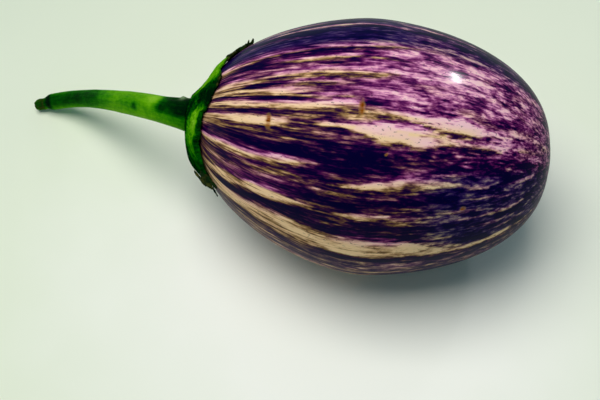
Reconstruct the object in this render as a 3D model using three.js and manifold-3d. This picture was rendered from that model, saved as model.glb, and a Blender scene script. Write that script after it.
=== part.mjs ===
// An eggplant with its calyx and stalk, picked and lying on its side. Millimetres, +Z up.
// +X runs along the fruit to its blossom end. The origin is the centre of the small flat
// spot on which the fruit rests.

import * as THREE from 'three';
import Module from 'manifold-3d';
import { mergeVertices } from 'three/addons/utils/BufferGeometryUtils.js';

// ---- Driving dimensions -------------------------------------------------------------

// The fruit before it is bent is round, and widest over the origin. At a share u of the reach
// from there to an end its radius is BELLY_RADIUS * (1 - u ** taper) ** bluntness.
const BELLY_RADIUS = 42.25;
const SHOULDER = { reach: 56, taper: 1.6, bluntness: 0.45 };
const BLOSSOM_END = { reach: 60.2, taper: 1.8, bluntness: 0.4 };
const OUTLINE_SPANS = 7;       // between the widest place and either end
const AXIS_HEIGHT = 41.6;      // axis of the fruit above the table, a little under its radius
const LEAN_START = 4.5;        // towards the stem from here, the fruit bends sideways
const LEAN_LENGTH = 60.5;      // from there to the middle of the shoulder
const LEAN_SIDEWAYS = 7.8;     // how far the shoulder has moved in +Y
const LEAN_TILT = 0.115;       // how far its sections have turned by then, in radians
const FRUIT_SIDES = 72;
const STATIONS_PER_SPAN = 3;

const SKIN_GAP = 0.3;          // clear space between the calyx and the skin
const CALYX_THICKNESS = 1;
const CALYX_RIM_THICKNESS = 0.7;
const CALYX_REACH = 17;        // from the middle of the shoulder to the notches between lobes
const CALYX_SIDES = 72;
const CALYX_RINGS = 9;
const COLLAR_RADIUS = 6.2;     // the round boss that the stalk grows from
const COLLAR_FACE_X = -59.2;
const COLLAR_RINGS = 2;        // how many of the rings lie on its face
const FILLET_HEIGHT = 2.6;     // the slope from the boss down to the sepals
const FILLET_WIDTH = 7.4;
const SWELL_HEIGHT = 2.2;      // the fleshy fold on the side towards -Y
const SWELL_MIDDLE = 182;      // its angle in degrees

// Sepal lobes: middle and half width in degrees round the axis (0 is +Y, 90 is up), reach
// beyond the notches, how pointed they are, and how far the tip stands off the skin. The
// first two are one wide sepal and its tip, which is bent to the side.
const LOBES = [
  { middle: 84, halfWidth: 34, reach: 7.5, point: 0.5, lift: 0 },
  { middle: 50, halfWidth: 26, reach: 16, point: 1.2, lift: 0.4 },
  { middle: 132, halfWidth: 30, reach: 0.8, point: 1.2, lift: 0.2 },
  { middle: 192, halfWidth: 36, reach: 12, point: 1.2, lift: 1 },
  { middle: 272, halfWidth: 36, reach: 12, point: 1.2, lift: 0.5 },
  { middle: 336, halfWidth: 34, reach: 9, point: 1.2, lift: 0.5 },
];

const STEM_GAP = 0.3;          // clear space between the stalk and the collar
const STEM_SIDES = 20;
const STEM_STEPS = 34;
// Middle line of the stalk as a cubic Bezier curve: the collar, the two points that it heads
// for as it leaves and as it arrives, and the scar where it was picked.
const STEM_ROUTE = [[-59.5, 8, 41.7], [-78, 11, 41], [-104, 42, 6], [-124, 35, 2.8]];
// Its radius at a distance along that line: the foot, the taper, the neck and the scar.
const STEM_OUTLINE = [
  [0, 5.7], [3.5, 5.25], [8.5, 4.7], [19, 4.25], [30, 3.95], [47, 3.45], [61, 3.1],
  [73, 2.85], [76.4, 2.55], [77.6, 2.1], [79, 2.35], [81, 2.3], [82.6, 1.5],
];

// ---- Helpers ------------------------------------------------------------------------

const radians = THREE.MathUtils.degToRad;

/** The fruit's half outline, closed through its mirror image so that both poles are round. */
function fruitOutline() {
  const upper = [];
  for (let span = -OUTLINE_SPANS; span <= OUTLINE_SPANS; span += 1) {
    const end = span < 0 ? SHOULDER : BLOSSOM_END;
    const share = Math.abs(Math.sin(Math.PI / 2 * span / OUTLINE_SPANS));
    const radius = BELLY_RADIUS * (1 - share ** end.taper) ** end.bluntness;
    upper.push(new THREE.Vector3(Math.sign(span) * end.reach * share, radius, 0));
  }
  const lower = upper.slice(1, -1).reverse().map((p) => new THREE.Vector3(p.x, -p.y, 0));
  return new THREE.CatmullRomCurve3([...upper, ...lower], true, 'centripetal');
}

const outline = fruitOutline();
const outlineLength = outline.getLength();

/** From the straight fruit (place along the axis, radius, angle) to the leaning one. */
function lean(x, radius, angle) {
  const share = Math.max(0, (LEAN_START - x) / LEAN_LENGTH) ** 2;
  const across = radius * Math.cos(angle);
  return new THREE.Vector3(
    x + LEAN_TILT * share * across,
    LEAN_SIDEWAYS * share + across,
    radius * Math.sin(angle) + AXIS_HEIGHT,
  );
}

/** Moves every vertex of a lathe turned about Y: move(height, radius, angle) says where. */
function reshape(geometry, move) {
  const places = geometry.attributes.position;
  for (let i = 0; i < places.count; i += 1) {
    const [x, y, z] = [places.getX(i), places.getY(i), places.getZ(i)];
    const point = move(y, Math.hypot(x, z), Math.atan2(x, z));
    places.setXYZ(i, point.x, point.y, point.z);
  }
  return geometry;
}

/** The same shape with each corner held once, so that it closes. */
function closedBody(geometry) {
  geometry.deleteAttribute('normal');
  geometry.deleteAttribute('uv');
  const merged = mergeVertices(geometry, 1e-3);
  merged.computeVertexNormals();
  return merged;
}

function toManifold(wasm, geometry) {
  const vertProperties = new Float32Array(geometry.attributes.position.array);
  const triVerts = new Uint32Array(geometry.index.array);
  return new wasm.Manifold(new wasm.Mesh({ numProp: 3, vertProperties, triVerts }));
}

function fromManifold(solid) {
  const { vertProperties, triVerts } = solid.getMesh();
  const geometry = new THREE.BufferGeometry();
  geometry.setAttribute('position', new THREE.BufferAttribute(vertProperties, 3));
  geometry.setIndex(new THREE.BufferAttribute(triVerts, 1));
  geometry.computeVertexNormals();
  return geometry;
}

function addPart(group, name, geometry, color, roughness) {
  const material = new THREE.MeshStandardMaterial({ color, roughness, metalness: 0 });
  const mesh = new THREE.Mesh(geometry, material);
  mesh.name = name;
  group.add(mesh);
}

// ---- Fruit --------------------------------------------------------------------------

/** The egg-shaped berry, turned on its axis, bent, and cut flat where it rests. */
function makeFruit(wasm) {
  const stations = 2 * OUTLINE_SPANS * STATIONS_PER_SPAN;
  const half = outline.getPoints(2 * stations).slice(0, stations + 1);
  const profile = half.map((p) => new THREE.Vector2(Math.max(p.y, 0), p.x));
  profile[0].x = 0;
  profile[stations].x = 0;
  const turned = closedBody(reshape(new THREE.LatheGeometry(profile, FRUIT_SIDES), lean));
  const tableDepth = 20;
  const tableTop = new THREE.BoxGeometry(200, 200, tableDepth);
  tableTop.translate(0, 0, -tableDepth / 2);
  return fromManifold(toManifold(wasm, turned).subtract(toManifold(wasm, closedBody(tableTop))));
}

// ---- Calyx --------------------------------------------------------------------------

/** How far the calyx reaches from the middle of the shoulder, and its tip's lift, at an angle. */
function sepalAt(angle) {
  let reach = CALYX_REACH;
  let lift = 0;
  for (const lobe of LOBES) {
    const turn = radians(lobe.middle) - angle;
    const away = Math.abs(Math.atan2(Math.sin(turn), Math.cos(turn)));
    const share = Math.max(0, 1 - away / radians(lobe.halfWidth)) ** lobe.point;
    reach += lobe.reach * share;
    lift += lobe.lift * share;
  }
  return { reach, lift };
}

/** A place over the skin, before the fruit leans: along it from the shoulder, and above it. */
function overSkin(along, above) {
  const at = along / outlineLength;
  const foot = outline.getPointAt(at);
  const tangent = outline.getTangentAt(at);
  return { x: foot.x - tangent.y * above, radius: Math.max(0, foot.y + tangent.x * above) };
}

/** A cap of fused sepals over the shoulder, with a boss in its middle for the stalk. */
function makeCalyx() {
  // Its section on the lathe: x is the ring's number, y is 1 outside and 0 inside.
  const section = [];
  for (let ring = 0; ring <= CALYX_RINGS; ring += 1) {
    section.push(new THREE.Vector2(ring, 1));
  }
  for (let ring = CALYX_RINGS; ring >= 0; ring -= 1) {
    section.push(new THREE.Vector2(ring, 0));
  }
  const cap = new THREE.LatheGeometry(section, CALYX_SIDES);
  reshape(cap, (side, ring, angle) => {
    const isBoss = ring < COLLAR_RINGS + 0.5;
    const sepal = sepalAt(angle);
    const share = isBoss ? 0 : (ring - COLLAR_RINGS) / (CALYX_RINGS - COLLAR_RINGS);
    const along = isBoss
      ? COLLAR_RADIUS * ring / COLLAR_RINGS
      : THREE.MathUtils.lerp(COLLAR_RADIUS, sepal.reach, share);
    if (isBoss && side > 0.5) {
      return lean(COLLAR_FACE_X, along, angle);
    }
    const fillet = Math.max(0, 1 - (along - COLLAR_RADIUS) / FILLET_WIDTH) ** 2;
    const facing = Math.max(0, Math.cos(angle - radians(SWELL_MIDDLE))) ** 1.5;
    const swell = facing * Math.sin(Math.PI * share ** 0.7);
    const flesh = THREE.MathUtils.lerp(CALYX_THICKNESS, CALYX_RIM_THICKNESS, share);
    const thickness = flesh + FILLET_HEIGHT * fillet + SWELL_HEIGHT * swell;
    const standOff = SKIN_GAP + sepal.lift * share ** 3;
    const place = overSkin(along, standOff + side * thickness);
    return lean(place.x, place.radius, angle);
  });
  return closedBody(cap);
}

// ---- Stem ---------------------------------------------------------------------------

/** The stalk: turned straight, then bent along its route. */
function makeStem() {
  const route = new THREE.CubicBezierCurve3(...STEM_ROUTE.map((p) => new THREE.Vector3(...p)));
  const length = route.getLength();
  const taper = new THREE.CatmullRomCurve3(
    STEM_OUTLINE.map(([along, radius]) => new THREE.Vector3(radius, along, 0)),
    false, 'centripetal',
  );
  const side = taper.getPoints(STEM_STEPS).map((p) => new THREE.Vector2(p.x, p.y));
  const last = side[side.length - 1];
  const profile = [new THREE.Vector2(0, 0), ...side, new THREE.Vector2(0, last.y + 0.5)];
  const turned = new THREE.LatheGeometry(profile, STEM_SIDES);
  const up = new THREE.Vector3(0, 0, 1);
  reshape(turned, (along, radius, angle) => {
    const at = Math.min(1, (along + STEM_GAP) / length);
    const forward = route.getTangentAt(at);
    const across = new THREE.Vector3().crossVectors(up, forward).normalize();
    const over = new THREE.Vector3().crossVectors(forward, across);
    return route.getPointAt(at)
      .addScaledVector(across, radius * Math.cos(angle))
      .addScaledVector(over, radius * Math.sin(angle));
  });
  return closedBody(turned);
}

// ---- The eggplant -------------------------------------------------------------------

const wasm = await Module();
wasm.setup();

const group = new THREE.Group();
addPart(group, 'fruit', makeFruit(wasm), 0x5a2a5e, 0.3);
addPart(group, 'calyx', makeCalyx(), 0x2f6a12, 0.6);
addPart(group, 'stem', makeStem(), 0x3a7a14, 0.55);

export default group;
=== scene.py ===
import math

import bpy
import numpy as np
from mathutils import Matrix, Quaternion, Vector


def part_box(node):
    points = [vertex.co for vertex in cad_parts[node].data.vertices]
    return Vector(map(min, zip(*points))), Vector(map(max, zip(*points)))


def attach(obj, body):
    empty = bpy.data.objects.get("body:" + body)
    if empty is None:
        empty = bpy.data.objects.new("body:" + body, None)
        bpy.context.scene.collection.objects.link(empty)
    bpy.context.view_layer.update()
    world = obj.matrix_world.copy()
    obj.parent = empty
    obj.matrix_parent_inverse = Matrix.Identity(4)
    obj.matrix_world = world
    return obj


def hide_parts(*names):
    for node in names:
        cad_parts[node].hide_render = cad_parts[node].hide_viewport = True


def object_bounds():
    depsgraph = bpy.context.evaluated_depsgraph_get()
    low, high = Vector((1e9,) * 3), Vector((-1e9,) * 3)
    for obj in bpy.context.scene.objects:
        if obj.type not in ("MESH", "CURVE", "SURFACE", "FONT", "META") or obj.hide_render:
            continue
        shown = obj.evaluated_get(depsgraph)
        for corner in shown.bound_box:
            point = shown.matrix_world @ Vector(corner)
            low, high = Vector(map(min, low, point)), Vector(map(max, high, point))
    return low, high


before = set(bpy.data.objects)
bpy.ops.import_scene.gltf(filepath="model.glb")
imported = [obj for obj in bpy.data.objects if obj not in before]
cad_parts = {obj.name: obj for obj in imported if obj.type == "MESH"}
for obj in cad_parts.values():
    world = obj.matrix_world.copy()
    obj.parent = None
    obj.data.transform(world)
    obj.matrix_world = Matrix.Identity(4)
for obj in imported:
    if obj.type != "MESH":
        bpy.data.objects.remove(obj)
cad_low, cad_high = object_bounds()

MM = 0.001

# ---- Sizes shared with the part's source ----

# The fruit before it is bent is round, and widest over the origin. At a share u of the reach
# from there to an end its radius is BELLY_RADIUS * (1 - u ** taper) ** bluntness.
BELLY_RADIUS = 42.25
SHOULDER = {"reach": 56, "taper": 1.6, "bluntness": 0.45}
BLOSSOM_END = {"reach": 60.2, "taper": 1.8, "bluntness": 0.4}
OUTLINE_SPANS = 7       # between the widest place and either end
AXIS_HEIGHT = 41.6      # axis of the fruit above the table, a little under its radius
LEAN_START = 4.5        # towards the stalk from here, the fruit bends sideways
LEAN_LENGTH = 60.5      # from there to the middle of the shoulder
LEAN_SIDEWAYS = 7.8     # how far the shoulder has moved in +Y
LEAN_TILT = 0.115       # how far its sections have turned by then, in radians

SKIN_GAP = 0.3          # clear space between the calyx and the skin
CALYX_THICKNESS = 1
CALYX_RIM_THICKNESS = 0.7
CALYX_REACH = 17        # from the middle of the shoulder to the notches between lobes
COLLAR_RADIUS = 6.2     # the round boss that the stalk grows from
COLLAR_FACE_X = -59.2
FILLET_HEIGHT = 2.6     # the slope from the boss down to the sepals
FILLET_WIDTH = 7.4
SWELL_HEIGHT = 2.2      # the fleshy fold on the side towards -Y
SWELL_MIDDLE = 182      # its angle in degrees

STEM_GAP = 0.3          # clear space between the stalk and the collar
# Middle line of the stalk as a cubic Bezier curve: the collar, the two points that it heads
# for as it leaves and as it arrives, and the scar where it was picked.
STEM_ROUTE = [(-59.5, 8, 41.7), (-78, 11, 41), (-104, 42, 6), (-124, 35, 2.8)]
# Its radius at a distance along that line: the foot and the taper, then the neck and the scar.
STEM_TAPER = [(0, 5.7), (3.5, 5.25), (8.5, 4.7), (19, 4.25), (30, 3.95), (47, 3.45), (61, 3.1)]
# Here the neck and the scar are knobbly, and a little thinner than their plain shape.
STALK_END = [
    (72.5, 2.9), (75.2, 2.75), (76.6, 2.3), (77.8, 1.9), (79.2, 1.95), (80.8, 1.7), (82.4, 1.0),
]

# ---- The looks' own sizes ----

OUTLINE_STEPS = 40      # places to each span of the fruit's outline
SKIN_SIDES = 360
SKIN_STATIONS = 216
CALYX_SIDES = 288
CALYX_RINGS = 34
TIP_SIDES = 16
TIP_STATIONS = 17
STEM_SIDES = 56
STEM_STEPS = 280
MERGE_DISTANCE = 1e-4   # closer corners of a lathed shape become one

SKIN_UNEVEN = 0.07      # how far the skin rises and dips
SKIN_UNEVEN_MOST = 0.1  # the most that it may rise
# The dip where the flower fell off and the low ring round it: height over the skin, distance
# from the end of the fruit, and half width.
BLOSSOM_RELIEF = [(-0.7, 0, 3.2), (0.2, 5.5, 1.6)]
BLOSSOM_SCAR_RADIUS = 2.4
FOOT_DEPTH = 1.0        # how far the stalk's foot sinks into the boss that it grew from

# Sepals: middle and half width in degrees, reach beyond the notches, how pointed they are,
# the tip's lift off the skin, and the height of the rib along the middle. The first two are
# one wide sepal and its tip, which is bent to the side.
SEPALS = [
    dict(middle=84, half_width=33, reach=7.0, point=0.5, lift=0.0, rib=0.5),
    dict(middle=48, half_width=20, reach=13.0, point=1.1, lift=0.0, rib=0.3),
    dict(middle=132, half_width=30, reach=0.8, point=1.2, lift=0.2, rib=0.4),
    dict(middle=188, half_width=34, reach=8.0, point=1.2, lift=0.3, rib=0.4),
    dict(middle=272, half_width=36, reach=12.0, point=1.2, lift=0.8, rib=0.6),
    dict(middle=336, half_width=34, reach=9.0, point=1.2, lift=0.8, rib=0.6),
]
RIB_HALF_WIDTH = 7      # in degrees
SWELL_REACH = 16        # how far past the boss the fleshy fold runs
EDGE_ROLL = 0.35        # how far the calyx's very edge curls off the skin
EDGE_ROLL_START = 0.86  # where that begins, as a share of the way from the boss to the edge
CALYX_DRY_START = 22    # how far out the sepals begin to turn brown
CALYX_DRY_FADE = 4

# Painted light and shade on the calyx: the fold and the long sepal are painted lighter, as lit,
# and painted shade lies above and below the fold, along its very edge and round the boss. Each
# place has a strength, then from where to where it reaches between boss (0) and edge (1) and how
# softly it ends, then the same round the axis in degrees.
ALL_ROUND = (0, 360, 1)
CALYX_PAINTED_LIGHT = [
    (0.40, (0.55, 0.80, 0.20), (114, 140, 12)),    # a fold
    (0.16, (0.40, 0.75, 0.30), (140, 172, 14)),    # beside it
    (0.40, (0.15, 0.95, 0.20), (30, 74, 12)),      # the long sepal
]
CALYX_PAINTED_SHADE = [
    (0.32, (0.42, 1.10, 0.16), (90, 110, 9)),      # above the fold
    (0.32, (0.40, 1.10, 0.25), (176, 205, 12)),    # below it
    (0.16, (1.00, 1.10, 0.10), ALL_ROUND),         # the very edge
    (0.256, (-0.10, 0.12, 0.20), (60, 150, 25)),   # round the boss
]

# Dry tips of the sepals: radius, whether it swells like a leaf (1) or tapers from its foot
# (0), and the points it follows (along the skin, degrees round the axis, height over it).
DRY_TIPS = [
    (1.05, 0, [
        (23, 47, 0.7), (26, 48, 0.6), (29, 48, 0.55), (31, 48, 0.65), (32.4, 48, 1.0),
        (33.3, 48, 2.0),
    ]),
    (0.9, 0, [(30.5, 46, 0.5), (33.0, 47, 0.5), (34.1, 48, 0.8), (34.8, 48, 1.8)]),
    (2.1, 1, [
        (17.5, 183, 0.4), (20.5, 184, 0.9), (23.2, 184, 1.6), (25.2, 184, 1.8), (27.4, 183, 1.5),
    ]),
    (0.8, 0, [(25.0, 184, 2.3), (23.0, 184, 2.9), (21.0, 184, 3.2), (19.2, 184, 3.6)]),
    (0.9, 0, [(23.5, 180, 1.0), (26.3, 180, 1.0), (28.4, 180, 0.7)]),
    (0.5, 0, [(24.8, 194, 0.5), (26.3, 195, 0.7), (28.0, 196, 0.9)]),
    (1.0, 0, [(26.5, 268, 1.0), (29, 269, 1.4), (31, 271, 2.2), (32, 273, 3.2)]),
    (0.7, 0, [(27, 275, 1.0), (29.5, 276, 1.1), (31, 277, 0.9)]),
    (0.9, 0, [(23.5, 334, 1.0), (26, 333, 1.5), (28, 331, 2.4), (28.6, 329, 3.6)]),
    (0.6, 0, [(24, 339, 0.9), (26.5, 340, 1.2), (28, 341, 1.0)]),
]

# Round marks on the stalk: along it, degrees round it, and half sizes in millimetres and
# degrees.
STALK_BUD = (2.4, 128, 0.9, 12)
STALK_PALE_SPOT = (13, 96, 3.5, 32)
STALK_DARK_SPOT = (21, 40, 1.5, 20)
STALK_NECK = 75.6       # where a dark ring runs round it
STALK_DRY_START = 76    # where it begins to turn brown
STALK_KNOTS_START = 77

# Streaks of the skin: strength (below 0 darkens), half width in degrees, and the points of
# its line (along the skin from the shoulder's middle, degrees round the axis).
STREAKS = [
    # over the top
    (0.5, 1.2, (30, 65), (42, 64), (58, 66)),
    (0.4, 1.0, (60, 60), (80, 58), (96, 60)),
    (0.8, 2.4, (8, 77), (24, 79), (34, 80), (44, 79)),
    (0.8, 1.1, (22, 78), (40, 78), (60, 77), (75, 77), (85, 75), (99, 73)),
    (0.7, 1.0, (40, 84), (60, 83.5), (75, 83), (94, 83)),
    (1.0, 3.0, (14, 97), (30, 97), (37, 96.5), (46, 94)),
    (1.0, 1.9, (38, 95), (50, 92.5), (60, 91.5), (75, 90.5), (94, 90)),
    (0.8, 1.1, (44, 98), (60, 97), (77, 96)),
    (0.95, 1.6, (8, 101), (40, 102), (50, 101.5), (64, 102)),
    (0.7, 0.9, (28, 103.5), (50, 104), (77, 103.5)),
    (1.0, 2.0, (6, 109), (30, 109), (40, 109.5), (50, 108), (65, 108), (75, 109), (98, 110)),
    (1.5, 2.6, (85, 111.5), (100, 112), (112, 113), (124, 114)),
    (1.1, 2.6, (4, 120), (30, 119), (45, 117.5), (58, 117)),
    (0.8, 1.1, (50, 116), (65, 116), (80, 116)),
    (1.4, 3.8, (68, 116.5), (85, 118), (95, 119.5), (106, 120)),
    (0.95, 2.4, (98, 120), (110, 121), (126, 121)),
    (0.85, 2.6, (114, 117), (126, 118), (142, 120)),
    (1.1, 1.6, (80, 115), (92, 116), (104, 118)),
    # the near side
    (1.0, 1.9, (4, 142), (20, 139), (30, 137), (40, 137), (50, 135.5), (56, 134), (65, 134)),
    (0.8, 0.9, (33, 143), (52, 142.5)),
    (0.85, 1.0, (46, 141), (64, 141)),
    (1.0, 2.2, (66, 142), (80, 140.5), (90, 139), (100, 139.5), (110, 140)),
    (0.95, 2.2, (107, 141.5), (119, 141.5)),
    (0.85, 1.0, (55, 146), (72, 146)),
    (0.8, 1.0, (60, 149.5), (75, 149.5)),
    (1.0, 3.2, (6, 175), (20, 167), (30, 161), (40, 157.5), (50, 155.5), (64, 154)),
    (0.9, 1.4, (30, 156.5), (42, 153.5), (58, 152.5)),
    (0.8, 1.1, (57, 156), (74, 156)),
    (0.9, 1.5, (62, 155.5), (76, 155), (91, 155)),
    (0.8, 1.1, (90, 155), (100, 155)),
    (0.9, 1.1, (104, 154), (118, 154)),
    (0.95, 6.2, (8, 179), (20, 177), (35, 174), (45, 172), (55, 171), (65, 172.5), (85, 173.5),
     (110, 176)),
    (1.0, 1.9, (100, 179), (115, 179), (125, 177.5), (138, 178)),
    (0.75, 1.2, (96, 135), (114, 134.5)),
    (0.75, 1.3, (110, 147), (126, 148)),
    (0.9, 1.6, (98, 153.5), (114, 153.5)),
    (0.85, 1.5, (106, 158.5), (124, 157), (136, 154)),
    (0.75, 1.4, (110, 164), (128, 164)),
    (0.8, 1.5, (120, 142), (134, 138), (146, 133)),
    (0.7, 1.2, (118, 170), (134, 168)),
    (0.8, 1.6, (96, 167), (110, 169)),
    (0.95, 1.3, (30, 186), (45, 187), (62, 189)),
    (0.7, 1.4, (58, 192), (70, 193), (82, 192)),
    (0.8, 1.7, (26, 196), (50, 199), (74, 203)),
    # dark lines and wedges between them
    (-1.0, 1.6, (54, 181), (70, 181), (85, 182), (100, 184), (122, 182)),
    (-1.0, 2.0, (20, 172), (27, 170), (35, 166), (45, 162.5), (62, 162)),
    (-1.0, 4.0, (42, 161.5), (56, 161.5), (70, 162), (85, 163), (108, 161)),
    (-0.6, 4.2, (18, 129), (60, 128), (100, 130), (140, 131)),
    (-1.0, 2.0, (46, 129), (60, 129), (100, 130), (140, 130)),
    (-0.8, 1.6, (66, 148), (88, 149), (104, 147)),
    (-0.7, 1.0, (10, 105.5), (30, 105.5), (66, 105.8)),
    (-0.7, 1.1, (10, 114), (30, 113.5), (56, 113)),
    (-0.6, 1.2, (14, 92), (26, 91), (40, 89)),
    (-0.6, 1.0, (14, 99.5), (34, 99.7), (56, 99)),
]

# Small rusty scars: along the skin, degrees round it, and half sizes in millimetres and degrees.
RUST = [(46, 118, 1.0, 3.4), (75, 108.5, 0.8, 3.0), (108.5, 151.7, 0.8, 0.9), (83, 127, 0.4, 0.5)]

# Stretches of skin that are flecked rather than dark: how pale they tend to be, and from
# where to where they reach along the skin and round it. Two of them hold painted light, as marked.
PATCHES = [
    (0.36, (0, 54), (86, 125)),
    (0.34, (0, 32), (86, 152)),
    (0.26, (0, 56), (140, 153)),
    (0.40, (0, 40), (172, 205)),
    (0.18, (0, 88), (76, 87)),
    (0.40, (56, 100), (84, 112)),
    # Partly real flecks and partly painted sheen: the lit upper side towards the blossom end.
    (0.50, (84, 142), (70, 113)),
    # Painted highlight: a pale glow round the gloss from the window lamp.
    (0.68, (94, 114), (78, 94)),
    (0.46, (112, 142), (110, 126)),
    (0.36, (88, 106), (143, 150)),
    (0.19, (106, 142), (134, 176)),
    (0.40, (30, 84), (186, 202)),
]
# Flecked patches end this softly, in millimetres along the skin and degrees round it.
PATCH_ENDS = 10
PATCH_SIDES = 4
# Other stretches: strength, and from where to where they reach and how softly they end,
# along the skin and round it.
ALL_ALONG = (0, 200, 1)
CROWN = (0.14, ALL_ALONG, (40, 64, 8))
PINK_PATCH = (0.35, (14, 60, 12), (134, 153, 6))
# Painted shade: on the lower right, along the top, low on the near side and at the right rim, the
# skin takes a bluer, duller copy of its colours.
SHADE_PATCHES = [
    (0.80, (104, 150, 16), (138, 174, 8)),
    (0.85, (0, 86, 20), (42, 71, 8)),
    (0.40, ALL_ALONG, (186, 204, 8)),
    (0.60, (86, 124, 12), (50, 70, 8)),
]

# How pale the skin tends to be between its streaks, near the calyx and by the blossom end.
PLAIN_LEVEL = 0.2
FAR_LEVEL = 0.3
FAR_START = 70          # where along the skin that begins to change
FAR_FADE = 60           # and the length over which it does
# Its pale parts turn pinker towards the blossom end and over the top, partly their own tint and
# partly painted light on the lit upper side: their middle value, how far they swing about it, where
# they pass it along and round the skin, and how slowly.
PINK_MIDDLE = 0.52
PINK_SWING = 0.43
PINK_ALONG = (66, 32)
PINK_ROUND = (112, 26)

HIDDEN_SIDE = (208, 412)
STREAK_LEVEL = 0.86
FRINGE_LEVEL = 0.44     # the olive fringe along the lower side of a streak
STREAK_TAPER = 15       # the length over which a streak thins out at each end
STREAK_SWAY = 0.5       # how far it strays from its line, in degrees
STREAK_RAGGED = 0.35    # how much its width varies, as a share of it
FIBRE_PITCH = 2         # how fast the pattern's coordinate grows along the skin by the calyx
FIBRE_SHORTENING = 22   # and how much faster further on, where its flecks are shorter
# Round the blossom scar the streaks run together to one look.
BLOSSOM_START = 136
BLOSSOM_FADE = 18
BLOSSOM_LOOK = {"bias": 0.3, "pink": 0.75, "blue": 0.35}


# ---- Lines and the shape of the fruit ----


def smooth_line(points, steps, closed=False):
    """A centripetal Catmull-Rom line through the points, with steps places to each span."""
    points = np.array(points, float)
    if closed:
        guides = np.vstack([points[-1:], points, points[:2]])
    else:
        guides = np.vstack([2 * points[0] - points[1], points, 2 * points[-1] - points[-2]])
    line = []
    for before, start, end, after in zip(guides, guides[1:], guides[2:], guides[3:]):
        pairs = ((before, start), (start, end), (end, after))
        coming, across, going = (math.sqrt(np.linalg.norm(far - near)) for near, far in pairs)
        leave = across * (
            (start - before) / coming
            - (end - before) / (coming + across)
            + (end - start) / across
        )
        arrive = across * (
            (end - start) / across
            - (after - start) / (across + going)
            + (after - end) / going
        )
        t = np.arange(steps)[:, None] / steps
        square = 3 * (end - start) - 2 * leave - arrive
        cube = 2 * (start - end) + leave + arrive
        line.append(start + leave * t + square * t**2 + cube * t**3)
    line.append(guides[-2:-1])
    return np.vstack(line)


def distances(line):
    """How far each place of a line is along it."""
    return np.concatenate([[0], np.cumsum(np.linalg.norm(np.diff(line, axis=0), axis=1))])


def at_places(places, known, rows):
    """Rows of numbers known at some places, read off in between at others."""
    return np.stack([np.interp(places, known, column) for column in rows.T], axis=-1)


def unit(vectors):
    """Directions made 1 long."""
    return vectors / np.linalg.norm(vectors, axis=1)[:, None]


def fruit_half():
    """Half the fruit's outline, closed through its mirror image to make both poles round."""
    upper = []
    for span in range(-OUTLINE_SPANS, OUTLINE_SPANS + 1):
        end = SHOULDER if span < 0 else BLOSSOM_END
        share = abs(math.sin(math.pi / 2 * span / OUTLINE_SPANS))
        radius = BELLY_RADIUS * (1 - share ** end["taper"]) ** end["bluntness"]
        upper.append((math.copysign(share, span) * end["reach"], radius))
    mirrored = [(x, -radius) for x, radius in upper[-2:0:-1]]
    loop = smooth_line(upper + mirrored, OUTLINE_STEPS, closed=True)
    half = loop[: 2 * OUTLINE_SPANS * OUTLINE_STEPS + 1]
    half[[0, -1], 1] = 0
    return half


HALF = fruit_half()
HALF_ALONG = distances(HALF)
HALF_LENGTH = HALF_ALONG[-1]
HALF_TANGENT = unit(np.gradient(HALF, HALF_ALONG, axis=0))


def over_skin(along, above):
    """A place over the skin before the fruit leans, as (place along the axis, radius)."""
    x, radius = at_places(along, HALF_ALONG, HALF).T
    tangent_x, tangent_radius = at_places(along, HALF_ALONG, HALF_TANGENT).T
    return x - tangent_radius * above, np.maximum(0, radius + tangent_x * above)


def lean(x, radius, angle):
    """From the straight fruit (place along the axis, radius, angle) to the leaning one."""
    share = np.maximum(0, (LEAN_START - x) / LEAN_LENGTH) ** 2
    across = radius * np.cos(angle)
    return np.stack(
        [
            x + LEAN_TILT * share * across,
            LEAN_SIDEWAYS * share + across,
            radius * np.sin(angle) + AXIS_HEIGHT,
        ],
        axis=-1,
    )


# ---- Modelling helpers ----


def lathe(name, profile, sides):
    """Draws a profile of (place along X, radius) edge by edge and spins it about the X axis."""
    bpy.ops.object.select_all(action="DESELECT")
    bpy.ops.mesh.primitive_plane_add(size=1, location=(0, 0, 0))
    piece = bpy.context.object
    piece.name = piece.data.name = name
    bpy.ops.object.mode_set(mode="EDIT")
    bpy.ops.mesh.select_all(action="SELECT")
    bpy.ops.mesh.merge(type="CENTER")
    steps = np.diff(np.vstack([[0, 0], profile]), axis=0)
    bpy.ops.transform.translate(value=(*steps[0], 0))
    for along, outward in steps[1:]:
        bpy.ops.mesh.extrude_region_move(TRANSFORM_OT_translate={"value": (along, outward, 0)})
    bpy.ops.mesh.select_all(action="SELECT")
    bpy.ops.mesh.spin(steps=sides, angle=math.tau, center=(0, 0, 0), axis=(1, 0, 0))
    bpy.ops.mesh.select_all(action="SELECT")
    bpy.ops.mesh.remove_doubles(threshold=MERGE_DISTANCE)
    bpy.ops.object.mode_set(mode="OBJECT")
    return piece


def turned_places(piece):
    """Each vertex of a lathed piece as (place along X, radius, angle round X from +Y)."""
    places = np.empty(len(piece.data.vertices) * 3, np.float32)
    piece.data.vertices.foreach_get("co", places)
    x, y, z = places.reshape(-1, 3).astype(float).T
    return x, np.hypot(y, z), np.arctan2(z, y)


def place_vertices(piece, places):
    """Puts the vertices at places in millimetres and turns every face outwards."""
    piece.data.vertices.foreach_set("co", (np.asarray(places) * MM).ravel())
    piece.data.update()
    bpy.ops.object.select_all(action="DESELECT")
    bpy.context.view_layer.objects.active = piece
    piece.select_set(True)
    bpy.ops.object.mode_set(mode="EDIT")
    bpy.ops.mesh.select_all(action="SELECT")
    bpy.ops.mesh.normals_make_consistent(inside=False)
    bpy.ops.object.mode_set(mode="OBJECT")
    bpy.ops.object.shade_smooth()


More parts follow.
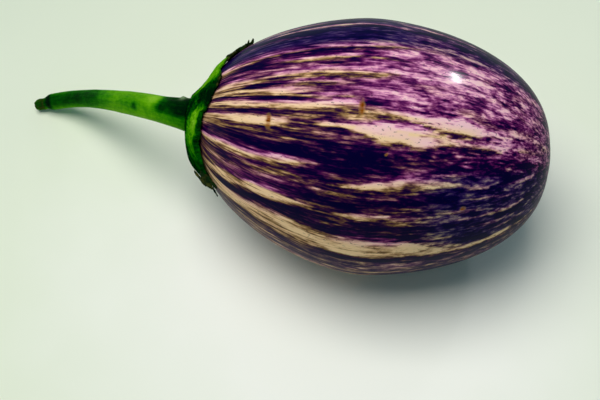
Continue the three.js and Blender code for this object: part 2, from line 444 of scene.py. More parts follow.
def bend_along(line, up, along, radius, angle):
    """Bends a straight turned shape along a line."""
    at = distances(line)
    middle = at_places(along, at, line)
    forward = unit(at_places(along, at, np.gradient(line, at, axis=0)))
    across = unit(np.cross(up, forward))
    over = np.cross(forward, across)
    sideways = across * (radius * np.cos(angle))[:, None]
    return middle + sideways + over * (radius * np.sin(angle))[:, None]


def keep_values(piece, **named):
    """Keeps numbers or vectors for the vertices, by name, for the piece's material."""
    for name, values in named.items():
        values = np.asarray(values, np.float32)
        kind, field = ("FLOAT", "value") if values.ndim == 1 else ("FLOAT_VECTOR", "vector")
        kept = piece.data.attributes.new(name, kind, "POINT")
        kept.data.foreach_set(field, values.ravel())


def turn_between(angle, middle):
    """The smallest turn in degrees from middle, in degrees, to angle, in radians."""
    return (np.degrees(angle) - middle + 180) % 360 - 180


def within(value, low, high, soft):
    """1 between low and high, falling to 0 over soft outside them."""
    share = np.clip(1 - np.maximum(low - value, value - high) / soft, 0, 1)
    return share * share * (3 - 2 * share)


def strongest(patches, along, angle):
    """The strongest of some patches at each place: each is (strength, reach, sides)."""
    turns = np.degrees(angle) % 360
    shares = [
        strength * within(along, *reach) * within(turns, *sides)
        for strength, reach, sides in patches
    ]
    return np.maximum.reduce(shares)


def round_mark(along, angle, at, turn, long, wide):
    """A soft round mark, 1 in its middle, with its half sizes in millimetres and degrees."""
    return np.exp(-(((along - at) / long) ** 2) - (turn_between(angle, turn) / wide) ** 2)


def waves(seed, *coordinates):
    """A smooth, uneven value about -1 to 1: a few sines of each coordinate, seeded."""
    draw = np.random.default_rng(seed)
    total = 0
    for pitch in (1, 1.9, 3.1, 4.7):
        phase = draw.uniform(0, math.tau)
        mix = sum(c * pitch * draw.uniform(0.6, 1.2) for c in coordinates)
        total = total + np.sin(mix + phase) / pitch
    return total / 2


def waves_round(seed, pitch, angle, *others):
    """Such a value that closes round a turned piece."""
    return waves(seed, pitch * np.cos(angle), pitch * np.sin(angle), *others)


# ---- Fruit skin ----


def hidden_streaks():
    """Streaks like those listed, for the side of the fruit that lies away."""
    draw = np.random.default_rng(11)
    made = []
    angle, last = HIDDEN_SIDE
    while angle < last:
        start, end = draw.uniform(15, 19), draw.uniform(55, 115)
        broad = zip((start, (start + end) / 2, end), angle + draw.uniform(-2, 2, 3))
        made.append((draw.uniform(0.85, 1.1), draw.uniform(1.4, 2.8), *broad))
        late = draw.uniform(70, 100)
        beside = angle + draw.uniform(-4, 4)
        short = [(late, beside), (late + 34, beside + 1)]
        made.append((draw.uniform(0.7, 1), draw.uniform(1, 2.6), *short))
        turn = angle + draw.uniform(4, 8)
        strength = draw.uniform(0.6, 0.85)
        thin = [(draw.uniform(24, 50), turn), (draw.uniform(75, 95), turn)]
        made.append((strength, 1.0, *thin))
        angle += draw.uniform(11, 17)
    return made


def streak_at(seed, half_width, route, along, angle):
    """Where each place lies across a streak, in half widths, its body there, and its ends."""
    at, turns = np.array(route, float).T
    ends = np.clip(np.minimum(along - at[0], at[-1] - along) / STREAK_TAPER, 0, 1) ** 0.7
    middle = np.interp(along, at, turns) + STREAK_SWAY * waves(seed, along / 6)
    width = half_width * (1 + STREAK_RAGGED * waves(seed + 500, along / 5))
    offset = turn_between(angle, middle) / width
    # It is full to 0.55 of its half width, and gone at 1.55.
    body = np.clip(1.55 - np.abs(offset) / np.maximum(ends, 1e-3), 0, 1) * (ends > 0)
    return offset, body * body * (3 - 2 * body) * (0.55 + 0.45 * ends), ends


def paint_streaks(along, angle):
    """For each place: how pale the skin tends to be, how pink, and how bluish, 0 to 1, partly
    painted light and shade.
    """
    turns = np.degrees(angle) % 360
    far = np.clip((along - FAR_START) / FAR_FADE, 0, 1)
    bias = PLAIN_LEVEL + (FAR_LEVEL - PLAIN_LEVEL) * far
    bias += 0.05 * waves_round(3, 5, angle, along / 20)
    for level, reach, sides in PATCHES:
        share = within(along, *reach, PATCH_ENDS) * within(turns, *sides, PATCH_SIDES)
        bias += (level - bias) * share
    level, reach, sides = CROWN
    bias += (level - bias) * within(along, *reach) * within(turns, *sides)
    (at, length), (turn, width) = PINK_ALONG, PINK_ROUND
    pinker = (along - at) / length - turn_between(angle, turn) / width
    pink = PINK_MIDDLE + PINK_SWING * np.tanh(pinker) + strongest([PINK_PATCH], along, angle)
    # How much of the painted shade's bluer colours each place takes.
    blue = strongest(SHADE_PATCHES, along, angle)
    for seed, (strength, half_width, *route) in enumerate(STREAKS + hidden_streaks(), 100):
        offset, body, ends = streak_at(seed, half_width, route, along, angle)
        if strength < 0:
            bias *= 1 + strength * body
        else:
            bias = np.maximum(bias, STREAK_LEVEL * strength * body)
            # A streak is pinker along its upper side, and has an olive fringe along its lower.
            pink -= 0.4 * np.clip(offset + 0.2, -1.5, 1.5) * (body > 0)
            blue *= 1 - 0.6 * body
            fringe = within(offset, 0.9, 1.7, 0.7) * ends * (1 - far)
            bias = np.maximum(bias, FRINGE_LEVEL * strength * fringe)
            pink -= 0.4 * fringe
    end = np.clip((along - BLOSSOM_START) / BLOSSOM_FADE, 0, 1)
    bias += (BLOSSOM_LOOK["bias"] - bias) * 0.8 * end
    pink += (BLOSSOM_LOOK["pink"] - pink) * end
    blue += (BLOSSOM_LOOK["blue"] - blue) * end
    return bias, pink, blue


def make_skin():
    """The egg-shaped berry, spun on its axis, bent at the shoulder and pressed flat below."""
    stations = np.linspace(0, HALF_LENGTH, SKIN_STATIONS + 1)
    profile = np.stack(over_skin(stations, 0), axis=-1)
    piece = lathe("fruit_skin", profile, SKIN_SIDES)
    x, radius, angle = turned_places(piece)
    # Seen from its middle, each place of the outline has its own bearing.
    middle = (BLOSSOM_END["reach"] - SHOULDER["reach"]) / 2
    bearings = np.arctan2(HALF[:, 1], middle - HALF[:, 0])
    along = np.interp(np.arctan2(radius, middle - x), bearings, HALF_ALONG)
    from_end = HALF_LENGTH - along
    # The skin is a little uneven except at its poles, and it dips where the flower fell off.
    above = SKIN_UNEVEN * waves_round(5, 1.4, angle, along / 30)
    above *= np.clip(from_end / 20, 0, 1) * np.clip(along / 20, 0, 1)
    above = np.minimum(above, SKIN_UNEVEN_MOST)
    for height, at, wide in BLOSSOM_RELIEF:
        above += height * np.exp(-(((from_end - at) / wide) ** 2))
    x, radius = over_skin(along, above)
    places = lean(x, radius, angle)
    places[:, 2] = np.maximum(places[:, 2], 0)
    place_vertices(piece, places)
    # Coordinates that run with the streaks: long fibres by the calyx, short flecks far off.
    metres = along * MM
    stretched = FIBRE_PITCH * metres + FIBRE_SHORTENING * metres**2
    narrowing = np.where(from_end < HALF_LENGTH / 2, np.minimum(1, radius / radius.max()), 1) ** 0.5
    round_it = (narrowing * np.cos(angle), narrowing * np.sin(angle))
    meridian = np.stack([stretched, *round_it], axis=-1)
    bias, pink, blue = paint_streaks(along, angle)
    rust = np.clip(sum(round_mark(along, angle, *mark) for mark in RUST), 0, 1)
    scar = np.clip(1.35 - from_end / BLOSSOM_SCAR_RADIUS, 0, 1)
    keep_values(piece, meridian=meridian, bias=bias, pink=pink, blue=blue, rust=rust, scar=scar)
    return piece


# ---- Calyx ----


def sepal_at(angle):
    """Reach, tip's lift and rib height of the calyx at each angle."""
    reach = np.full(angle.shape, float(CALYX_REACH))
    lift = np.zeros(angle.shape)
    rib = np.zeros(angle.shape)
    for sepal in SEPALS:
        away = np.abs(turn_between(angle, sepal["middle"]))
        share = np.maximum(0, 1 - away / sepal["half_width"]) ** sepal["point"]
        reach += sepal["reach"] * share
        lift += sepal["lift"] * share
        rib = np.maximum(rib, sepal["rib"] * np.exp(-((away / RIB_HALF_WIDTH) ** 2)))
    return reach, lift, rib


def calyx_section():
    """The calyx for the lathe: X is 1 outside, and radius 0 to 1 is the boss, 1 to 2 the sepals."""
    rings = np.concatenate([[0, 0.35, 0.7], np.linspace(1, 2, CALYX_RINGS)])
    turns = np.radians([30, 60, 90, 120, 150])
    rim = [(0.5 + 0.5 * math.cos(turn), 2 + 0.02 * math.sin(turn)) for turn in turns]
    return np.array([(1, ring) for ring in rings] + rim + [(0, ring) for ring in rings[::-1]])


def make_calyx():
    """A cap of fused sepals over the shoulder, with a boss in its middle for the stalk."""
    # The lathe merges close places, so it works on a larger copy of the section.
    scale = 10
    piece = lathe("calyx_cap", calyx_section() * scale, CALYX_SIDES)
    side, ring, angle = turned_places(piece)
    side, ring = side / scale, ring / scale
    boss = ring < 0.999    # a little under 1, because merged corners aren't exact
    share = np.maximum(0, ring - 1)
    reach, lift, rib = sepal_at(angle)
    reach += 0.5 * waves_round(7, 9, angle) + 0.35 * waves(8, 23 * angle)
    along = np.where(boss, COLLAR_RADIUS * ring, COLLAR_RADIUS + (reach - COLLAR_RADIUS) * share)
    beyond = along - COLLAR_RADIUS
    fillet = np.maximum(0, 1 - beyond / FILLET_WIDTH) ** 2
    facing = np.maximum(0, np.cos(angle - math.radians(SWELL_MIDDLE))) ** 1.5
    swell = facing * np.sin(math.pi * np.clip(beyond / SWELL_REACH, 0, 1) ** 0.8)
    thickness = CALYX_THICKNESS + (CALYX_RIM_THICKNESS - CALYX_THICKNESS) * share
    thickness += FILLET_HEIGHT * fillet + SWELL_HEIGHT * swell
    # Ribs, shallow lumps and fine veins, all fading towards the boss and the edge.
    hump = np.sin(math.pi * np.clip(share, 0, 1) ** 0.8)
    relief = rib + 0.3 * waves_round(9, 11, angle, along / 3)
    relief += 0.1 * np.sin(44 * angle + 2 * waves(10, along / 4))
    roll = EDGE_ROLL * np.clip((share - EDGE_ROLL_START) / (1 - EDGE_ROLL_START), 0, 1)
    stand_off = SKIN_GAP + (lift + roll) * share**3
    x, radius = over_skin(along, stand_off + side * (thickness + hump * relief))
    outer_boss = boss & (side > 0.5)
    x = np.where(outer_boss, COLLAR_FACE_X, x)
    radius = np.where(outer_boss, along, radius)
    place_vertices(piece, lean(x, radius, angle))
    veins = np.stack([share * 1.2, np.cos(angle), np.sin(angle)], axis=-1)
    dry = np.clip((along - CALYX_DRY_START) / CALYX_DRY_FADE, 0, 1)
    # Painted light less painted shade, kept for the calyx's green.
    tone = strongest(CALYX_PAINTED_LIGHT, share, angle) - strongest(CALYX_PAINTED_SHADE, share, angle)
    keep_values(piece, veins=veins, dry=dry, tone=tone)
    return piece


def make_dry_tip(widest, leafy, marks):
    """One dried, curled point of a sepal, along its marks over the skin."""
    along, turn, above = np.array(marks, float).T
    x, radius = over_skin(along, above)
    line = smooth_line(lean(x, radius, np.radians(turn)), 40)
    length = distances(line)[-1]
    shares = np.linspace(0, 1, TIP_STATIONS)
    if leafy:
        outline = np.sin(math.pi * (0.15 + 0.85 * shares)) ** 0.8
    else:
        outline = (1 - 0.35 * shares) * (1 - shares**6) ** 0.5
    radii = widest * outline * (1 + 0.16 * np.sin(11 * shares + widest * 7))
    profile = [(0, 0), (0, 0.6 * radii[0]), *zip(shares * length + 0.05, radii)]
    profile[-1] = (length + 0.1, 0)
    piece = lathe("dry_tip", np.array(profile), TIP_SIDES)
    straight, wide, angle = turned_places(piece)
    wide *= 1 + 0.14 * np.sin(3 * angle + straight) + 0.08 * np.sin(7 * angle - 3 * straight)
    up = np.array([0.2, 0.9, 0.4])
    bent = bend_along(line, up, straight, wide, angle)
    # A dried point is thin: it is flattened towards the skin that it grew on.
    middle = bend_along(line, up, straight, wide * 0, angle)
    outward = unit(middle - np.array([0, LEAN_SIDEWAYS / 2, AXIS_HEIGHT]))
    height = ((bent - middle) * outward).sum(axis=1)
    place_vertices(piece, bent - outward * (0.35 * height)[:, None])
    return piece


def make_dry_tips():
    """All the dry tips, joined into one piece."""
    tips = [make_dry_tip(*tip) for tip in DRY_TIPS]
    bpy.ops.object.select_all(action="DESELECT")
    for tip in tips:
        tip.select_set(True)
    bpy.context.view_layer.objects.active = tips[0]
    bpy.ops.object.join()
    tips[0].name = tips[0].data.name = "calyx_tips"
    return tips[0]


# ---- Stalk ----


def stalk_line():
    """The middle line of the stalk, as places close together along it."""
    start, leaving, arriving, end = np.array(STEM_ROUTE, float)
    t = np.linspace(0, 1, STEM_STEPS + 1)[:, None]
    back = 1 - t
    return back**3 * start + 3 * back**2 * t * leaving + 3 * back * t**2 * arriving + t**3 * end


def stalk_tone(along, angle):
    """Paler along the flanks and near the foot, deep green in the middle of the far half, with
    painted shade on top of the foot.
    """
    flank = np.clip(np.abs(turn_between(angle, 58)) / 75, 0, 1.3) ** 2
    tone = 0.36 + 0.22 * flank + 0.2 * within(along, 14, 34, 14)
    tone -= 0.2 * within(along, 52, 74, 10) * (1 - np.clip(flank, 0, 1))
    tone += 0.3 * round_mark(along, angle, *STALK_PALE_SPOT)
    # Painted shade on the upper side of the foot, where it meets the calyx; a real dark spot is
    # added to it.
    shade = within(along, -9, 8, 4) * within(turn_between(angle, 92), -38, 38, 24)
    shade *= 0.85 + 0.3 * waves_round(25, 3, angle, along / 4)
    shade = np.maximum(shade, 0.8 * round_mark(along, angle, *STALK_DARK_SPOT))
    return tone - 0.5 * shade - 0.35 * np.exp(-(((along - STALK_NECK) / 1.3) ** 2))


def make_stalk():
    """The stalk, spun straight, ribbed, then bent along its route."""
    side = smooth_line(STEM_TAPER + STALK_END, 12)
    length, last = side[-1]
    end = [(length + 0.35, last * 0.75), (length + 0.1, last * 0.4), (length - 0.15, 0)]
    profile = np.vstack([[(-FOOT_DEPTH, 0), (-FOOT_DEPTH, side[0][1])], side, end])
    piece = lathe("stalk", profile, STEM_SIDES)
    along, radius, angle = turned_places(piece)
    ribs = 0.14 * np.cos(5 * angle + along / 26) + 0.05 * np.cos(11 * angle - along / 15)
    lumps = 0.12 * waves_round(21, 2, angle, along / 6)
    # A small bud scar near the foot, and knots on the picked end.
    bud = 0.75 * round_mark(along, angle, *STALK_BUD)
    knots = 0.3 * np.clip((along - STALK_KNOTS_START) / 1.5, 0, 1) * waves_round(23, 4, angle, along)
    relief = (ribs + lumps) * np.clip(along / 4, 0, 1) + bud + knots
    radius = radius + np.where(radius > 0.01, relief, 0)
    up = np.array([0, 0, 1.0])
    place_vertices(piece, bend_along(stalk_line(), up, along + STEM_GAP, radius, angle))
    grain = np.stack([along / 60, 0.5 * np.cos(angle), 0.5 * np.sin(angle)], axis=-1)
    dry = 0.5 * np.clip((along - STALK_DRY_START) / 2.5, 0, 1)
    bud = np.clip(1.6 * bud, 0, 1)
    keep_values(piece, grain=grain, tone=stalk_tone(along, angle), dry=dry, bud=bud)
    return piece


# ---- Node helpers ----


def srgb(red, green, blue):
    """A colour given as it looks on screen, 0 to 255, as the linear values nodes take."""
    parts = [value / 255 for value in (red, green, blue)]
    linear = [v / 12.92 if v <= 0.04045 else ((v + 0.055) / 1.055) ** 2.4 for v in parts]
    return (*linear, 1.0)


def feed(tree, sockets, values):
    """Links input sockets, by name, to other sockets, or sets their values."""
    for key, value in values.items():
        if isinstance(value, bpy.types.NodeSocket):
            tree.links.new(value, sockets[key])
        else:
            sockets[key].default_value = value


def put(tree, kind, inputs=None, **settings):
    """Adds a shader node with its settings, and feeds its inputs by name."""
    made = tree.nodes.new("ShaderNode" + kind)
    for key, value in settings.items():
        setattr(made, key, value)
    feed(tree, made.inputs, inputs or {})
    return made


def work_out(tree, operation, *values):
    """A number from one sum, such as ADD or MULTIPLY."""
    return put(tree, "Math", dict(enumerate(values)), operation=operation).outputs[0]


def times(tree, first, second):
    """One number times another."""
    return work_out(tree, "MULTIPLY", first, second)


def swing(tree, noise, strength, middle):
    """Noise about 0.5 as a swing of that strength about a middle value."""
    return work_out(tree, "MULTIPLY_ADD", work_out(tree, "SUBTRACT", noise, 0.5), strength, middle)


def blend(tree, share, first, second):
    """A colour between two others."""
    inputs = {"Factor": share, 6: first, 7: second}
    return put(tree, "Mix", inputs, data_type="RGBA").outputs[2]


def ramp(tree, value, stops):
    """Colours by value: stops are (value, colour as it looks on screen)."""
    made = put(tree, "ValToRGB", {"Fac": value})
    elements = made.color_ramp.elements
    while len(elements) < len(stops):
        elements.new(0.5)
    for element, (place, colour) in zip(elements, stops):
        element.position = place
        element.color = srgb(*colour)
    return made.outputs["Color"]


def spread(tree, value, low, high, start=0.0, end=1.0, curve="LINEAR"):
    """Stretches a value so that low becomes start and high becomes end, clamped."""
    inputs = {"Value": value, "From Min": low, "From Max": high, "To Min": start, "To Max": end}
    return put(tree, "MapRange", inputs, interpolation_type=curve).outputs["Result"]


def texture(tree, vector, scale, detail=3.0, roughness=0.55, distortion=0.0):
    """Noise, about 0.5."""
    inputs = {"Vector": vector, "Scale": scale, "Detail": detail, "Roughness": roughness}
    return put(tree, "TexNoise", {**inputs, "Distortion": distortion}).outputs["Fac"]


def stretch(tree, vector, along):
    """Coordinates scaled along their first axis, which makes a pattern shorter or longer."""
    return put(tree, "Mapping", {"Vector": vector, "Scale": (along, 1, 1)}).outputs["Vector"]


def read(tree, name, output="Fac"):
    """A value kept for each vertex."""
    return put(tree, "Attribute", attribute_name=name).outputs[output]


def object_place(tree):
    """Coordinates that stay with the piece, in metres."""
    return put(tree, "TexCoord").outputs["Object"]


def new_group(name, inputs, outputs):
    """An empty node group with its sockets: (group, its inputs, its outputs)."""
    group = bpy.data.node_groups.new(name, "ShaderNodeTree")
    for in_out, sockets in (("INPUT", inputs), ("OUTPUT", outputs)):
        for label, kind in sockets.items():
            group.interface.new_socket(name=label, in_out=in_out, socket_type="NodeSocket" + kind)
    taken = group.nodes.new("NodeGroupInput").outputs
    given = group.nodes.new("NodeGroupOutput").inputs
    return group, taken, given


def use_group(tree, group, **inputs):
    """Places a group in a material, and feeds its inputs by name."""
    return put(tree, "Group", inputs, node_tree=group).outputs


def new_material(name, slot_colour):
    """A material with its Principled shader: (material, tree, shader)."""
    material = bpy.data.materials.new(name)
    material.use_nodes = True
    material.diffuse_color = slot_colour
    tree = material.node_tree
    return material, tree, tree.nodes["Principled BSDF"]


# ---- Node groups ----


def fibre_group():
    """Uneven value that runs in fibres: flecks broken by threads and specks."""
    group, taken, given = new_group(
        "fibres",
        {"Vector": "Vector", "Scale": "Float", "Threads": "Float", "Specks": "Float"},
        {"Value": "Float"},
    )
    vector, scale = taken["Vector"], taken["Scale"]
    flecks = texture(group, vector, scale, detail=4.0, roughness=0.6, distortion=0.3)
    long, short = stretch(group, vector, 0.42), stretch(group, vector, 0.6)
    threads = texture(group, long, times(group, scale, 4.2), roughness=0.6)
    specks = texture(group, short, times(group, scale, 4.0), detail=2.0, roughness=0.5)
    value = work_out(group, "SUBTRACT", flecks, 0.5)
    value = swing(group, threads, taken["Threads"], value)
    feed(group, given, {"Value": swing(group, specks, taken["Specks"], value)})
    return group


def mottle_group():
    """Blotches and specks for green tissue: a value from 0, dark, to 1, pale."""
    group, taken, given = new_group(
        "mottle", {"Vector": "Vector", "Scale": "Float"}, {"Value": "Float"}
    )
    vector, scale = taken["Vector"], taken["Scale"]
    blotches = texture(group, vector, scale, detail=4.0, roughness=0.6, distortion=0.4)
    specks = texture(group, vector, times(group, scale, 5.0), detail=2.0)
    value = work_out(group, "MULTIPLY_ADD", specks, 0.35, times(group, blotches, 0.65))
    feed(group, given, {"Value": spread(group, value, 0.33, 0.67)})
    return group


DRY_ROUGHNESS = 0.85


def dry_group():
    """Turns a colour to dead brown tissue, and roughens it, where Dry is high."""
    group, taken, given = new_group(
        "dried tissue",
        {"Color": "Color", "Roughness": "Float", "Dry": "Float", "Vector": "Vector"},
        {"Color": "Color", "Roughness": "Float"},
    )
    patches = texture(group, taken["Vector"], scale=700.0)
    edge = work_out(group, "MULTIPLY_ADD", patches, 0.7, taken["Dry"])
    share = times(group, spread(group, edge, 0.6, 0.95), spread(group, taken["Dry"], 0, 0.1))
    brown = ramp(group, patches, DRY_BROWN)
    colour = blend(group, share, taken["Color"], brown)
    rough = {"Factor": share, 2: taken["Roughness"], 3: DRY_ROUGHNESS}
    rough = put(group, "Mix", rough, data_type="FLOAT").outputs[0]
    feed(group, given, {"Color": colour, "Roughness": rough})
    return group


def relief_group():
    """Height of a fine uneven surface, in metres, for a Bump node."""
    group, taken, given = new_group(
        "fine relief", {"Vector": "Vector", "Scale": "Float", "Depth": "Float"}, {"Height": "Float"}
    )
    grain = texture(group, taken["Vector"], taken["Scale"], detail=4.0)
    feed(group, given, {"Height": times(group, grain, taken["Depth"])})
    return group


# ---- Materials ----

# Colours for the ramps, as they look on screen, 0 to 255. The skin's run from its darkest to
# its palest: warm, pink, and a bluish, duller copy that is painted shade.
WARM_SKIN = [
    (0.00, (3, 0, 42)), (0.15, (26, 2, 48)), (0.28, (54, 18, 52)), (0.40, (86, 54, 46)),
    (0.52, (124, 90, 58)), (0.64, (164, 126, 84)), (0.78, (210, 166, 126)), (1.00, (242, 204, 160)),
]
PINK_SKIN = [
    (0.00, (8, 0, 46)), (0.15, (44, 0, 60)), (0.30, (82, 14, 78)), (0.44, (120, 44, 100)),
    (0.58, (164, 86, 138)), (0.72, (208, 132, 172)), (0.86, (234, 166, 192)),
    (1.00, (246, 196, 204)),
]
# The skin's colours as they look in shade: painted shade.
SHADED_SKIN = [
    (0.00, (0, 0, 46)), (0.18, (8, 3, 64)), (0.32, (26, 20, 80)), (0.46, (50, 44, 90)),
    (0.62, (88, 80, 100)), (0.80, (140, 128, 112)), (1.00, (190, 172, 144)),
]
RUST_BROWN = [(0.2, (200, 150, 60)), (0.6, (150, 84, 12)), (1.0, (104, 44, 0))]
LEAF_GREEN = [
    (0.00, (0, 22, 6)), (0.15, (0, 48, 4)), (0.32, (6, 84, 0)), (0.50, (44, 124, 2)),
    (0.72, (92, 160, 6)), (1.00, (140, 190, 50)),
]
TIP_GREEN = [(0.2, (0, 22, 10)), (0.8, (18, 46, 12))]
DRY_BROWN = [(0.35, (6, 16, 8)), (0.50, (24, 34, 10)), (0.68, (66, 66, 26))]
# The table's colours by distance from the fruit: a painted pool of light, palest round it.
TABLE_LIGHT_POOL = [(0.08, (248, 246, 238)), (0.15, (230, 234, 214)), (0.24, (218, 224, 204))]
PORE = srgb(34, 4, 44)
BUD_SCAR = srgb(150, 176, 130)
BACKDROP = srgb(212, 220, 204)

FIBRES, MOTTLE, DRIED, RELIEF = fibre_group(), mottle_group(), dry_group(), relief_group()


def finish_surface(tree, shader, colour, dry, roughness, specular):
    """Browns a colour where it is dry, and gives the shader it and its gloss."""
    place = object_place(tree)
    dried = use_group(tree, DRIED, Color=colour, Roughness=roughness, Dry=dry, Vector=place)
    surface = {"Base Color": dried["Color"], "Roughness": dried["Roughness"]}
    feed(tree, shader.inputs, {**surface, "Specular IOR Level": specular})


def roughen(tree, shader, vector, scale, depth, strength):
    """Gives the shader a fine relief, with its depth in metres."""
    height = use_group(tree, RELIEF, Vector=vector, Scale=scale, Depth=depth)["Height"]
    bump = put(tree, "Bump", {"Height": height, "Strength": strength, "Distance": 1.0})
    feed(tree, shader.inputs, {"Normal": bump.outputs["Normal"]})


def leaf_green(tree, veins, blotches, level):
    """Green from the kept tone, with veins and blotches: each ends with its share in the value."""
    vector, scale, threads, veined = veins
    size, blotched = blotches
    lines = use_group(tree, FIBRES, Vector=vector, Scale=scale, Threads=threads)["Value"]
    mottle = use_group(tree, MOTTLE, Vector=object_place(tree), Scale=size)["Value"]
    value = work_out(tree, "MULTIPLY_ADD", lines, veined, times(tree, mottle, blotched))
    # The kept tone holds painted light and shade on the calyx, and painted shade at the stalk's foot
    # among its own marks.
    value = work_out(tree, "ADD", value, work_out(tree, "ADD", read(tree, "tone"), level))
    return ramp(tree, value, LEAF_GREEN)


def skin_material():
    """Waxy skin: its kept values and flecks choose between pale streaks and dark ground."""
    material, tree, shader = new_material("waxy streaked skin", srgb(92, 48, 92))
    meridian = read(tree, "meridian", "Vector")
    # Towards the blossom end, threads give way to specks, and the flecks grow stronger.
    far = put(tree, "SeparateXYZ", {"Vector": meridian}).outputs["X"]
    flecks = use_group(
        tree, FIBRES, Vector=meridian, Scale=13.0,
        Threads=spread(tree, far, 0.1, 0.5, 0.8, 0.25),
        Specks=spread(tree, far, 0.1, 0.4, 0.0, 0.42),
    )["Value"]
    ragged = spread(tree, far, 0.1, 0.5, 1.8, 2.6)
    pale = work_out(tree, "MULTIPLY_ADD", flecks, ragged, read(tree, "bias"))
    chips = texture(tree, stretch(tree, meridian, 1.9), scale=34.0, detail=2.0)
    pale = swing(tree, chips, 0.8, pale)
    tint = texture(tree, stretch(tree, meridian, 0.8), scale=9.0, detail=2.0)
    pink = spread(tree, swing(tree, tint, 1.8, read(tree, "pink")), 0.1, 0.9)
    colour = blend(tree, pink, ramp(tree, pale, WARM_SKIN), ramp(tree, pale, PINK_SKIN))
    # Painted shade: the bluer, duller copy of the colours, as far as the kept blue share says.
    colour = blend(tree, read(tree, "blue"), colour, ramp(tree, pale, SHADED_SKIN))
    # Dark pores in the pale streaks, and rusty scars.
    pores = texture(tree, stretch(tree, meridian, 2.4), scale=56.0, detail=2.0)
    colour = blend(tree, times(tree, spread(tree, pores, 0.63, 0.69), 0.6), colour, PORE)
    rust = times(tree, read(tree, "rust"), times(tree, chips, 2.0))
    colour = blend(tree, spread(tree, rust, 0.12, 0.8), colour, ramp(tree, rust, RUST_BROWN))
    finish_surface(tree, shader, colour, read(tree, "scar"), roughness=0.36, specular=0.01)
    feed(tree, shader.inputs, {"Coat Weight": 0.1, "Coat Roughness": 0.14, "Coat IOR": 1.35})
    roughen(tree, shader, meridian, scale=26.0, depth=0.00006, strength=0.6)
    return material


def calyx_material():
    """Leaf green, mottled and faintly veined, going brown at its dry edges."""
    material, tree, shader = new_material("calyx green", srgb(40, 96, 14))
    green = leaf_green(tree, (read(tree, "veins", "Vector"), 14.0, 0.5, 0.7), (260.0, 0.36), 0.17)
    finish_surface(tree, shader, green, read(tree, "dry"), roughness=0.5, specular=0.0)
    roughen(tree, shader, object_place(tree), scale=1400.0, depth=0.0002, strength=0.7)
    return material


def tip_material():
    """Dry, dark sepal tips with a little green left."""
    material, tree, shader = new_material("dry sepal tip", srgb(24, 34, 12))
    place = object_place(tree)
    mottle = use_group(tree, MOTTLE, Vector=place, Scale=500.0)["Value"]
    green = ramp(tree, mottle, TIP_GREEN)
    finish_surface(tree, shader, green, 0.45, roughness=0.6, specular=0.05)
    roughen(tree, shader, place, scale=1800.0, depth=0.0003, strength=0.8)
    return material


def stalk_material():
    """Bright green that is streaked along the stalk, with a pale bud scar and a dry end."""
    material, tree, shader = new_material("stalk green", srgb(48, 116, 14))
    grain = read(tree, "grain", "Vector")
    green = leaf_green(tree, (grain, 12.0, 0.6, 0.35), (150.0, 0.22), -0.08)
    colour = blend(tree, times(tree, read(tree, "bud"), 0.7), green, BUD_SCAR)
    finish_surface(tree, shader, colour, read(tree, "dry"), roughness=0.48, specular=0.01)
    roughen(tree, shader, grain, scale=60.0, depth=0.00016, strength=0.7)
    return material


def mix_with_plain(tree, share, surface, plain):
    """A shader between a lit surface and a plain one."""
    return put(tree, "MixShader", {0: share, 1: surface, 2: plain}).outputs[0]


def table_material():
    """A pale table. Far off, the camera sees the backdrop's plain tone in its place."""
    material, tree, shader = new_material("pale table", srgb(232, 236, 224))
    place = object_place(tree)
    under_fruit = (0.0, -0.03, 0)
    away = put(tree, "VectorMath", {0: place, 1: under_fruit}, operation="DISTANCE")
    away = away.outputs["Value"]
    # Painted light: paler round the fruit and greyer green further off, with a faint cloudiness.
    light_pool_and_cloud = work_out(tree, "MULTIPLY_ADD", texture(tree, place, scale=14.0), 0.06, away)
    surface = {"Base Color": ramp(tree, light_pool_and_cloud, TABLE_LIGHT_POOL), "Roughness": 0.6}
    feed(tree, shader.inputs, {**surface, "Specular IOR Level": 0.2})
    seen = put(tree, "LightPath").outputs["Is Camera Ray"]
    share = times(tree, spread(tree, away, 0.2, 0.6, curve="SMOOTHSTEP"), seen)
    plain = put(tree, "Emission", {"Color": BACKDROP, "Strength": 1.0}).outputs[0]
    mixed = mix_with_plain(tree, share, shader.outputs[0], plain)
    feed(tree, tree.nodes["Material Output"].inputs, {"Surface": mixed})
    return material


# ---- Camera, table and light ----

VIEW_TURN = 4.71
VIEW_HEIGHT = 58.0
VIEW_DISTANCE = 0.430
VIEW_LENS = 78.0
# How far to the right of the fruit's middle and above it the camera aims, in metres.
AIM_RIGHT = -0.02357
AIM_UP = -0.01762
TABLE_SIZE = 12

# Lamps: name, way to them from the object's middle, distance, size, roll in degrees, watts,
# colour, and what they serve: the window the gloss, and the ceiling the colours.
LAMPS = [
    ("window", (0.508, 0.642, 0.577), 1.2, (0.05, 0.2), 39, 19.0, (1.0, 0.98, 0.97), "gloss"),
    ("ceiling", (-0.21, -0.02, 1.0), 1.2, (0.85, 0.85), 0, 14.3, (1.0, 0.99, 0.95), "colour"),
]
ROOM_COLOUR = (0.5, 0.88, 1.0, 1)
ROOM_STRENGTH = 0.2


def way_to_camera(turn, height):
    """The way from the object to a camera that far round and that high, in degrees."""
    turn, height = math.radians(turn), math.radians(height)
    flat = math.cos(height)
    return Vector((math.sin(turn) * flat, -math.cos(turn) * flat, math.sin(height)))


def set_up(name, data, place, turned):
    """Puts a camera or lamp in the scene at a place, turned as asked."""
    holder = bpy.data.objects.new(name, data)
    holder.location = place
    holder.rotation_mode = "QUATERNION"
    holder.rotation_quaternion = turned
    bpy.context.collection.objects.link(holder)
    return holder


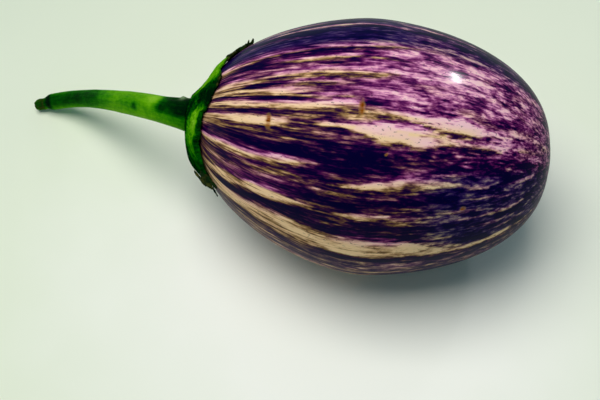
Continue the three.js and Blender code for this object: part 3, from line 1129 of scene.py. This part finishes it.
def make_camera():
    """A camera above the near side of the fruit, looking down at it."""
    low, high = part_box("fruit")
    back = way_to_camera(VIEW_TURN, VIEW_HEIGHT)
    right = Vector((0, 0, 1)).cross(back).normalized()
    up = back.cross(right)
    aim = (low + high) / 2 + right * AIM_RIGHT + up * AIM_UP
    camera = bpy.data.cameras.new("camera")
    camera.lens = VIEW_LENS
    camera.clip_start, camera.clip_end = 0.01, 50
    turned = (-back).to_track_quat("-Z", "Y")
    bpy.context.scene.camera = set_up("camera", camera, aim + back * VIEW_DISTANCE, turned)


def make_table():
    """The pale table top that the fruit lies on."""
    bpy.ops.object.select_all(action="DESELECT")
    bpy.ops.mesh.primitive_plane_add(size=TABLE_SIZE, location=(0, 0, 0))
    table = bpy.context.object
    table.name = "table_top"
    table.data.materials.append(table_material())


def make_lamps():
    """The lamps, aimed at the object's middle."""
    centre = (cad_low + cad_high) / 2
    for name, way, distance, size, roll, watts, colour, serves in LAMPS:
        lamp = bpy.data.lights.new(name, "AREA")
        lamp.shape = "RECTANGLE"
        lamp.size, lamp.size_y = size
        lamp.energy = watts
        lamp.color = colour
        towards = Vector(way).normalized()
        turned = towards.to_track_quat("Z", "Y") @ Quaternion((0, 0, 1), math.radians(roll))
        holder = set_up(name, lamp, centre + towards * distance, turned)
        holder.visible_glossy = serves == "gloss"
        holder.visible_diffuse = serves == "colour"


def make_room():
    """A dim, cool room. The camera sees a pale backdrop instead."""
    room = bpy.data.worlds.new("soft room")
    room.use_nodes = True
    tree = room.node_tree
    light = tree.nodes["Background"]
    feed(tree, light.inputs, {"Color": ROOM_COLOUR, "Strength": ROOM_STRENGTH})
    backdrop = put(tree, "Background", {"Color": BACKDROP, "Strength": 1.0}).outputs[0]
    seen = put(tree, "LightPath").outputs["Is Camera Ray"]
    mixed = mix_with_plain(tree, seen, light.outputs[0], backdrop)
    feed(tree, tree.nodes["World Output"].inputs, {"Surface": mixed})
    bpy.context.scene.world = room


# ---- The eggplant ----


def finish_piece(piece, material, node=None):
    """Gives a piece its material, hangs it under the root body, and hides the part's node that it
    replaces, if any.
    """
    piece.data.materials.clear()
    piece.data.materials.append(material)
    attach(piece, "root")
    if node:
        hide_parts(node)


finish_piece(make_skin(), skin_material(), "fruit")
finish_piece(make_calyx(), calyx_material(), "calyx")
finish_piece(make_dry_tips(), tip_material())
finish_piece(make_stalk(), stalk_material(), "stem")

make_table()
make_lamps()
make_room()
make_camera()
bpy.context.scene.view_settings.view_transform = "Standard"
